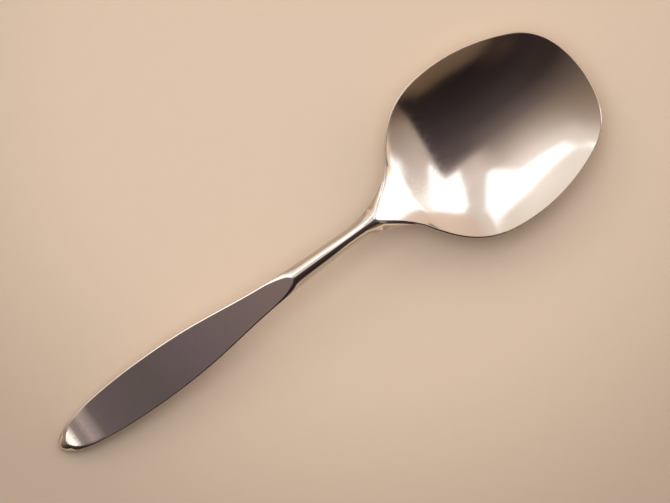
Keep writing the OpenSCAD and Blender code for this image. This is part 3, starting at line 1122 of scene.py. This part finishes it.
        counts = {"Vertices X": given["Rings"], "Vertices Y": given["Columns"]}
        grid = add_node(tree, "GeometryNodeMeshGrid", {"Size X": 1.0, "Size Y": 1.0, **counts})
        index = Signal(tree, add_node(tree, "GeometryNodeInputIndex").outputs[0])
        columns = size["Points Around"] + 1.0
        row = ((index + 0.5) / columns).through("FLOOR")
        column = (index - row * columns).through("MODULO", size["Points Around"])
        outline_x, outline_y, _ = look_up("outline", column)
        inward, outward, depth = look_up("ring", row)
        face = look_up("face", row)[0]

        inner_l = size["Length"] - (size["Hollow Start"] + size["Rim Width"])
        inner_hw = size["Half Width"] - size["Rim Width"]
        edge_x = mix(outline_x * size["Length"], outline_x * inner_l + size["Hollow Start"], inward)
        edge_y = mix(outline_y * size["Half Width"], outline_y * inner_hw, inward)
        x = mix(size["Centre Share"] * size["Length"], edge_x, outward)
        y = edge_y * outward

        outer_share = x / size["Length"]
        inner_share = (x - size["Hollow Start"]) / inner_l
        width_share, depth_share, _ = profile(mix(outer_share, inner_share, face))
        sheer = profile(outer_share)[2]
        half_width = (width_share * mix(size["Half Width"], inner_hw, face)).through("MAXIMUM", 1e-7)
        out = (y.through("ABSOLUTE") / half_width).through("MINIMUM", 1.0)
        fall = mix(size["Depth Under"], size["Depth Inside"], face) * depth_share * (1.0 - out * out)
        top = size["Rim Height"] - size["Rim Drop"] * sheer
        z = (top - depth - fall).through("MAXIMUM", 0.0)
        place_x = x + size["Heel Place"]
        point = add_node(tree, "ShaderNodeCombineXYZ", {0: place_x.socket, 1: y.socket, 2: z.socket})
        moved = {"Geometry": grid.outputs["Mesh"], "Position": point.outputs[0]}
        bent = add_node(tree, "GeometryNodeSetPosition", moved)
        doubled = {"Geometry": bent.outputs[0], "Distance": 2e-6}
        merged = add_node(tree, "GeometryNodeMergeByDistance", doubled)
        real = add_node(tree, "GeometryNodeRealizeInstances", {"Geometry": merged.outputs[0]})
        finished = {"Geometry": real.outputs[0], "Material": given["Finish"]}
        dressed = add_node(tree, "GeometryNodeSetMaterial", finished)
        add_node(tree, "NodeGroupOutput", {0: dressed.outputs[0]})
        return tree, sizes

    def build(self, steel: bpy.types.Material) -> bpy.types.Object:
        """Runs the tree, keeps its mesh and places the bowl.

        Args:
            steel: Material of the bowl.

        Returns:
            The placed piece.
        """
        holder = self.tables()
        tree, sizes = self.tree()
        modifier = holder.modifiers.new("bowl_by_rule", "NODES")
        modifier.node_group = tree
        values = dict(sizes, Rings=len(self.rings()[0]), Columns=self.around + 1, Finish=steel)
        for item in tree.interface.items_tree:
            if item.in_out == "INPUT" and item.name in values:
                modifier[item.identifier] = values[item.name]
        bpy.context.view_layer.update()
        evaluated = holder.evaluated_get(bpy.context.evaluated_depsgraph_get())
        mesh = bpy.data.meshes.new_from_object(evaluated)
        mesh.name = "bowl_pressed"
        bpy.data.objects.remove(holder)
        mesh.materials.clear()
        for name in [a.name for a in mesh.attributes if a.name in ("outline", "profile", "ring", "face")]:
            mesh.attributes.remove(mesh.attributes[name])
        return place(settle(mesh, self.crisp), [steel], "bowl", "polished_bowl")


@dataclass
class HandleShell:
    """One of the two half shells of the handle, hollow behind its solid nose."""

    lines: SpoonLines
    half: Half
    arc_steps: int = 20
    flat_steps: int = 14
    nose_steps: int = 12
    nose_start: float = 0.12
    front_steps: int = 64
    run_steps: int = 120
    tip_steps: int = 26
    end_steps: int = 5
    arc_power: float = 2.2
    seam_share: float = 0.42
    cavity_power: float = 3.0
    wall_share: float = 0.6
    crisp: float = 24.0

    def stations(self) -> list[float]:
        """Places of the sections, close together where the nose and the ends of the leaf turn.

        Returns:
            Distances from the nose in millimetres, in rising order.
        """
        line = self.lines
        leaf_run = line.leaf_front + line.leaf_nose_l
        tip_start = line.leaf_end - line.leaf_tip_l
        quarter = math.pi / 2
        nose = line.leaf_front * (1 - np.cos(np.linspace(self.nose_start, quarter, self.nose_steps)))
        front = line.leaf_front + line.leaf_nose_l * (1 - ease(np.linspace(0, 1, self.front_steps), 3))
        run = np.linspace(leaf_run, tip_start, self.run_steps)
        tip = tip_start + line.leaf_tip_l * np.sin(np.linspace(0, quarter, self.tip_steps))
        end = np.linspace(line.leaf_end, line.shell_l - line.seam / 2, self.end_steps)
        solid = [line.nose_solid, line.nose_solid + line.seam]
        return sorted(set(np.round(np.r_[nose, front, run, tip, end, solid], 5).tolist()))

    @property
    def sign(self) -> int:
        """Upwards for the front shell and downwards for the back shell."""
        return 1 if self.half is Half.FRONT else -1

    def section(self, x: float) -> np.ndarray:
        """Closed section of the shell, its outer side first.

        Args:
            x: Distance from the nose.

        Returns:
            Rows of x, y and z.
        """
        line = self.lines
        hollow = x > line.nose_solid
        hw = float(line.body_hw(x))
        mid = line.mid_z(x) + self.sign * line.seam / 2
        if self.half is Half.FRONT:
            flat = line.leaf_hw(x)
            spread = (np.arange(self.arc_steps + 1) / self.arc_steps) ** self.arc_power
            arc = mix(flat, hw, 1 - spread)
            across = np.linspace(flat, -flat, self.flat_steps + 1)[1:-1]
            y = np.r_[arc, across, -arc[::-1]]
            outer = np.c_[y, np.maximum(line.upper_z(x, y), mid)]
            reach = line.top_z(x) - line.shell_wall - mid
        else:
            angle = np.linspace(0, math.pi, 2 * self.arc_steps + self.flat_steps + 1)
            outer = np.c_[hw * np.cos(angle), mid - (mid - line.bottom_z(x)) * np.sin(angle)]
            reach = line.bottom_z(x) + line.shell_wall - mid
        share = np.linspace(1, 0, len(outer))
        turn = np.cos(math.pi * share)
        if hollow:
            wide = np.sign(turn) * np.abs(turn) ** (2 / self.cavity_power)
            inner_y = (hw - line.shell_wall) * wide
            inner_z = mid + reach * np.sin(math.pi * share) ** (2 / self.cavity_power)
            if self.half is Half.FRONT:
                wall = line.shell_wall * self.wall_share
                inner_z = np.maximum(np.minimum(inner_z, line.upper_z(x, inner_y) - wall), mid)
        else:
            inner_y = hw * self.seam_share * (1 - 2 * share)
            inner_z = np.full(len(share), mid)
        inner = np.c_[inner_y, inner_z]
        rows = np.vstack([outer, inner])
        return np.c_[np.full(len(rows), x), rows]

    def build(self, finishes: list[bpy.types.Material]) -> bpy.types.Object:
        """Lofts the shell, gives the leaf its own finish and places the shell.

        Args:
            finishes: Polished steel, and for the front shell satin steel as well.

        Returns:
            The placed piece.
        """
        line = self.lines
        places = self.stations()
        sections = [self.section(x) for x in places]
        nose = (0, 0, line.nose_mid + self.sign * line.seam / 2)
        mesh = closed_loft(self.half.value + "_shell", sections, line.middle, first=nose)
        if self.half is Half.FRONT:
            n = len(sections[0])
            for i, (a, b) in enumerate(zip(places, places[1:])):
                if line.leaf_hw((a + b) / 2) > 0:
                    for j in range(self.arc_steps, self.arc_steps + self.flat_steps):
                        mesh.polygons[i * n + j].material_index = 1
        slot = "satin_face" if self.half is Half.FRONT else "polished_handle"
        return place(settle(mesh, self.crisp), finishes, self.half.value, slot)


@dataclass
class Shank:
    """The forged shank: tang, rounded neck, and the heel with its seat and its drop under the bowl."""

    lines: SpoonLines
    arc_steps: int = 40
    floor_steps: int = 40
    under_steps: int = 44
    neck_steps: int = 40
    neck_end_l: float = 5.0
    neck_end_gap: float = 0.1
    seat_steps: int = 56
    drop_steps: int = 40
    drop_start: float = 0.03
    drop_end: float = math.radians(87)
    floor_share: float = 0.998
    crown_share: float = 0.21
    crown_least: float = 0.1
    crown_fade_l: float = 8.0
    tang_l: float = 55.0
    tang_w: float = 3.6
    tang_t: float = 2.2
    tang_gap: float = 0.5
    tang_power: float = 3.0
    tang_steps: int = 8
    tang_end_share: float = 0.58
    crisp: float = 34.0

    def section(self, x: float, seated: bool) -> np.ndarray:
        """Closed section of neck or heel, from its widest line over the top and back below.

        Args:
            x: Distance from the nose.
            seated: Whether the bowl lies on it.

        Returns:
            Rows of x, y and z.
        """
        line = self.lines
        hw = float(line.body_hw(x))
        seat = line.seat_hw(x)
        beside = seat < hw - line.drop_t / 2
        if seated:
            strip = seat if beside else hw - line.drop_t / 2
        else:
            faded = smooth((x - line.handle_l + self.crown_fade_l) / self.crown_fade_l)
            strip = mix(line.neck_w / 2 * self.crown_share, self.crown_least, faded)
        mid, bottom = line.mid_z(x), line.bottom_z(x)
        turn = np.linspace(0, math.pi / 2, self.arc_steps + 1)
        y = mix(strip, hw, np.cos(turn))
        if beside:
            z = line.upper_z(x, y)
        else:
            lip = float(line.underside(x - line.handle_l, strip)) - line.seam
            z = mix(mid, lip, np.sin(turn))
        floor = strip * self.floor_share * np.linspace(1, -1, self.floor_steps + 1)
        if seated:
            floor_z = line.underside(x - line.handle_l, floor) - line.seam
        else:
            floor_z = line.upper_z(x, floor)
        angle = np.linspace(math.pi, 0, self.under_steps + 1)[1:-1]
        rows = np.vstack([
            np.c_[y, z],
            np.c_[floor, floor_z],
            np.c_[-y, z][::-1],
            np.c_[hw * np.cos(angle), mid - (mid - bottom) * np.sin(angle)],
        ])
        return np.c_[np.full(len(rows), x), rows]

    def tang_section(self, x: float, share: float) -> np.ndarray:
        """Section of the tang, with as many points as the neck's.

        Args:
            x: Distance from the nose.
            share: Share of the tang's full width and thickness.

        Returns:
            Rows of x, y and z.
        """
        line = self.lines
        neck = self.section(line.shell_l, False)
        angle = np.arctan2(neck[:, 2] - line.mid_z(line.shell_l), neck[:, 1])
        middle = line.top_z(x) - line.shell_wall - self.tang_t / 2 - self.tang_gap
        round_off = 2 / self.tang_power
        across, up = (np.sign(k) * np.abs(k) ** round_off for k in (np.cos(angle), np.sin(angle)))
        y = share * self.tang_w / 2 * across
        z = middle + share * self.tang_t / 2 * up
        return np.c_[np.full(len(y), x), y, z]

    def build(self, steel: bpy.types.Material) -> bpy.types.Object:
        """Lofts the shank and places it.

        Args:
            steel: Material of the shank.

        Returns:
            The placed piece.
        """
        line = self.lines
        tang_x = line.shell_l - self.tang_l
        shoulder = line.shell_l + line.seam / 2
        heel = line.handle_l - line.seam
        seat = heel + line.seam / 2
        drop_x = line.handle_l + line.drop_l
        sections = [self.tang_section(tang_x, self.tang_end_share)]
        tang = np.linspace(tang_x + self.tang_t / 2, shoulder, self.tang_steps)
        sections += [self.tang_section(x, 1.0) for x in tang]
        neck = np.linspace(shoulder, heel - self.neck_end_l, self.neck_steps)
        neck_end = np.linspace(heel - self.neck_end_l + self.neck_end_gap, heel, self.neck_steps)
        sections += [self.section(x, False) for x in np.r_[neck, neck_end]]
        seated = (1 - np.cos(np.linspace(0, math.pi, self.seat_steps))) / 2
        hanging = np.sin(np.linspace(self.drop_start, self.drop_end, self.drop_steps))
        under = np.r_[mix(seat, line.merge_x, seated), mix(line.merge_x, drop_x, hanging)]
        sections += [self.section(x, True) for x in under]
        tip = (drop_x, 0, float(line.underside(line.drop_l, 0.0)) - line.seam - line.drop_t / 2)
        mesh = closed_loft("shank_forged", sections, line.middle, last=tip)
        return place(settle(mesh, self.crisp), [steel], "shank", "polished_shank")


@dataclass
class Filler:
    """The cement core inside the handle, whose plain CAD solid is right as it is."""

    node: str = "handle_filler"

    def dress(self, nodes: dict[str, bpy.types.Object], cement: bpy.types.Material) -> bpy.types.Object:
        """Gives the CAD node its material.

        Args:
            nodes: CAD nodes by name.
            cement: Material of the core.

        Returns:
            The dressed node.
        """
        core = nodes[self.node]
        core.data.materials.clear()
        core.data.materials.append(cement)
        LOG.info("%s: CAD node kept, dressed as %s", core.name, cement.name)
        return core


@dataclass(frozen=True)
class SoftBox:
    """A soft light panel over the table."""

    name: str
    place: Point
    aim: Point
    size: float
    power: float
    colour: str
    spread: float
    mirrored: bool

    def add(self) -> bpy.types.Object:
        """Adds the panel, turned to its aim.

        Returns:
            The light.
        """
        data = bpy.data.lights.new(self.name, "AREA")
        data.shape = "SQUARE"
        data.size = self.size
        data.color = linear(self.colour)[:3]
        data.energy = self.power
        data.spread = math.radians(self.spread)
        panel = add_object(self.name, data)
        panel.location = self.place
        way = Vector(self.aim) - Vector(self.place)
        panel.rotation_euler = way.to_track_quat("-Z", "Y").to_euler()
        panel.visible_camera = False
        panel.visible_glossy = self.mirrored
        panel.visible_diffuse = not self.mirrored
        return panel


@dataclass(frozen=True)
class Pane:
    """A bright window in the room, with straight sides and no inward corner.

    Its corners are angles along and across the spoon, clockwise as the spoon sees them, and soft is the
    width of its edge, all in degrees.
    """

    corners: Pairs
    soft: float

    def inside(self, along: Signal, across: Signal) -> Signal:
        """How far a ray passes inside the window's nearest side.

        Args:
            along: Lean of the ray along the spoon.
            across: Lean of the ray across the spoon.

        Returns:
            The distance in degrees, negative outside.
        """
        edges = []
        for (a0, b0), (a1, b1) in zip(self.corners, self.corners[1:] + self.corners[:1]):
            run = math.hypot(a1 - a0, b1 - b0)
            na, nb = -(b1 - b0) / run, (a1 - a0) / run
            edges.append(along * na + across * nb - (a0 * na + b0 * nb))
        nearest = edges[0]
        for edge in edges[1:]:
            nearest = nearest.through("MINIMUM", edge)
        return nearest


@dataclass(frozen=True)
class Room:
    """The room round the table, which the steel reflects.

    It is drawn by the lean of a mirrored ray from straight up, in degrees: along the spoon, towards the
    bowl, and across it, towards the lower right of the picture. Each wall's colours run across the spoon.
    """

    wall: float = 1.6
    window: float = 2.2
    edge: float = 90.0
    nose_wall: Stops = (
        (-90, "d8bfa8"), (-66, "b8a494"), (-50, "ae9c8f"), (-20, "8a7868"), (0, "62544c"), (20, "322823"),
        (52, "2a2120"), (61, "6a5240"), (90, "6a5240"),
    )
    middle_wall: Stops = (
        (-90, "d8bfa8"), (-80, "dcc8b6"), (-70, "ebdfd4"), (-44, "ecdfd6"), (-29, "cbbcb2"),
        (-14, "9c8d84"), (0, "6e615c"), (20, "463d3b"), (45, "2e2525"), (60, "221b1b"),
        (66.5, "201a1a"), (70, "64503e"), (90, "7d6a58"),
    )
    inner_wall: Stops = (
        (-90, "d8c4b2"), (-66, "d2bfae"), (-40, "d6cac2"), (-25, "e0d2ca"), (-9, "c6b7ac"), (-3, "7a6c68"),
        (3, "5c504e"), (25, "42393a"), (45, "302728"), (63.5, "221b1b"), (68, "6c5642"), (90, "7d6a58"),
    )
    bowl_wall: Stops = (
        (-90, "d8bfa8"), (-60, "ceb8a6"), (-40, "e2c8b8"), (-10, "e6d6ca"), (12, "cfbeb4"), (32, "b7a79c"),
        (50, "978578"), (60, "5a463c"), (90, "7d6a58"),
    )
    far_wall: str = "dcc5b5"
    table: str = "dcc4ac"
    nose_to_middle: tuple[float, float] = (-60, -6)
    middle_to_inner: tuple[float, float] = (5, 21)
    inner_to_bowl: tuple[float, float] = (41, 44)
    bowl_to_far: tuple[float, float] = (64.5, 67.5)
    wall_to_table: tuple[float, float] = (78, 86)
    bowl_edge_lean: float = 0.08
    haze: Pane = Pane(((-34, -76), (36, -76), (36, -42), (0, -36), (-34, -40)), 22)
    haze_colour: str = "fff6ea"
    haze_share: float = 0.35
    panes: tuple[Pane, ...] = (
        Pane(((-25, -63), (4, -63), (30, -68), (30, -50), (2, -45), (-25, -48)), 4),
        Pane(((2, -46), (30, -51), (17, -28), (13, -29)), 3),
        Pane(((31, -9), (35, -27), (40, -40), (46, -42), (52, -38), (59, -30), (53, -12), (47, -9)), 3),
        Pane(((42, -10), (54, -14), (47, 8), (44, 15), (43, 0)), 2),
        Pane(((62, -31), (66, -20), (67, 0), (66, 20), (62, 36), (57, 22), (55, 2), (58, -18)), 2),
        Pane(((58, 26), (64, 20), (88, 36), (88, 44), (66, 42), (60, 34)), 3),
    )
    pane_colour: str = "ffffff"

    def make(self) -> bpy.types.World:
        """Builds the world and gives it to the scene.

        Returns:
            The world.
        """
        world = bpy.data.worlds.new("room")
        bpy.context.scene.world = world
        world.use_nodes = True
        tree = world.node_tree
        tree.nodes.clear()
        way = add_node(tree, "ShaderNodeTexCoord").outputs["Generated"]
        x, y, z = (Signal(tree, k) for k in add_node(tree, "ShaderNodeSeparateXYZ", {0: way}).outputs)
        tilt = z.through("ARCCOSINE") * (180 / math.pi)
        level = (x * x + y * y).through("SQRT").through("MAXIMUM", 1e-5)
        along = tilt * (x / level)
        across = tilt * (y * -1.0 / level)

        place_across = (across + self.edge) / (2 * self.edge)
        walls = []
        for stops in (self.nose_wall, self.middle_wall, self.inner_wall, self.bowl_wall):
            wall = add_node(tree, "ShaderNodeValToRGB", {"Fac": place_across.socket})
            fill_ramp(wall.color_ramp, stops, -self.edge, self.edge)
            walls.append(wall.outputs[0])
        leaning = across.through("MAXIMUM", 0.0) * self.bowl_edge_lean + along
        soft = self.haze.soft / 2
        layers = [
            (along, self.nose_to_middle, 1.0, walls[1]),
            (along, self.middle_to_inner, 1.0, walls[2]),
            (leaning, self.inner_to_bowl, 1.0, walls[3]),
            (along, self.bowl_to_far, 1.0, linear(self.far_wall)),
            (self.haze.inside(along, across), (-soft, soft), self.haze_share, linear(self.haze_colour)),
        ]
        for pane in self.panes:
            soft = pane.soft / 2
            layers.append((pane.inside(along, across), (-soft, soft), 1.0, linear(self.pane_colour)))
        layers.append((tilt, self.wall_to_table, 1.0, linear(self.table)))

        colour = walls[0]
        shares = []
        for signal, (low, high), most, over in layers:
            reach = {"Value": signal.socket, "From Min": low, "From Max": high, "To Max": most}
            share = add_node(tree, "ShaderNodeMapRange", reach, interpolation_type="SMOOTHSTEP").outputs[0]
            blended = {0: share, 6: colour, 7: over}
            colour = add_node(tree, "ShaderNodeMix", blended, data_type="RGBA").outputs[2]
            shares.append(Signal(tree, share))
        lit, *others = shares[-1 - len(self.panes) : -1]
        for share in others:
            lit = lit.through("MAXIMUM", share)
        strength = lit * (self.window - self.wall) + self.wall
        back = add_node(tree, "ShaderNodeBackground", {"Color": colour, "Strength": strength.socket})
        add_node(tree, "ShaderNodeOutputWorld", {"Surface": back.outputs[0]})
        return world


@dataclass
class Studio:
    """Paper floor, soft light and the camera straight above.

    The floor and the lamps are measured in metres, and the camera's height, centre and view in millimetres.
    """

    room: Room
    floor_r: float = 3.0
    floor_sides: int = 96
    height: float = 628.0
    centre: tuple[float, float] = (6.4, -0.9)
    turn: float = -35.9
    seen_w: float = 240.0
    sensor: float = 36.0
    lamps: tuple[SoftBox, ...] = (
        SoftBox(
            "overhead", (0.035, 0.06, 0.42), (0.035, 0.06, 0.0),
            size=0.32, power=0.99, colour="e2f4ff", spread=180.0, mirrored=False,
        ),
        SoftBox(
            "nose_card", (-0.195, 0.0, 0.116), (-0.1085, 0.0, 0.0055),
            size=0.024, power=0.00015, colour="fff2e4", spread=40.0, mirrored=True,
        ),
    )

    def floor(self, paper: bpy.types.Material) -> bpy.types.Object:
        """Adds the floor, a disc of paper that reaches out of sight.

        Args:
            paper: Material of the floor.

        Returns:
            The floor.
        """
        work = bmesh.new()
        bmesh.ops.create_circle(work, cap_ends=True, segments=self.floor_sides, radius=self.floor_r)
        mesh = bpy.data.meshes.new("paper_floor")
        work.to_mesh(mesh)
        work.free()
        mesh.materials.append(paper)
        sheet = add_object("paper_floor", mesh)
        return sheet

    def camera(self) -> bpy.types.Object:
        """Adds the camera at the photograph's place.

        Returns:
            The camera.
        """
        data = bpy.data.cameras.new("above")
        data.sensor_width = self.sensor
        data.lens = self.sensor * self.height / self.seen_w
        data.clip_start = 0.01
        data.clip_end = 50.0
        above = add_object("above", data)
        above.location = (self.centre[0] * MM, self.centre[1] * MM, self.height * MM)
        above.rotation_euler = (0, 0, math.radians(self.turn))
        bpy.context.scene.camera = above
        return above

    def build(self, paper: bpy.types.Material) -> None:
        """Sets the whole studio up.

        Args:
            paper: Material of the floor.
        """
        self.floor(paper)
        self.room.make()
        for lamp in self.lamps:
            lamp.add()
        self.camera()
        bpy.context.scene.view_settings.view_transform = "Standard"
        LOG.info("studio: floor, room, %d lamps, camera", len(self.lamps))


def main() -> None:
    """Builds the spoon piece by piece, then the studio round it."""
    logging.basicConfig(level=logging.INFO, format="%(name)s: %(message)s")
    lines = SpoonLines()
    polished = PolishedSteel().make()
    satin = SatinSteel().make()
    Bowl(lines).build(polished)
    Shank(lines).build(polished)
    HandleShell(lines, Half.FRONT).build([polished, satin])
    HandleShell(lines, Half.BACK).build([polished])
    Filler().dress(frame["nodes"], SetCement().make())
    Studio(Room()).build(BuffPaper().make())


if __name__ == "__main__":
    main()
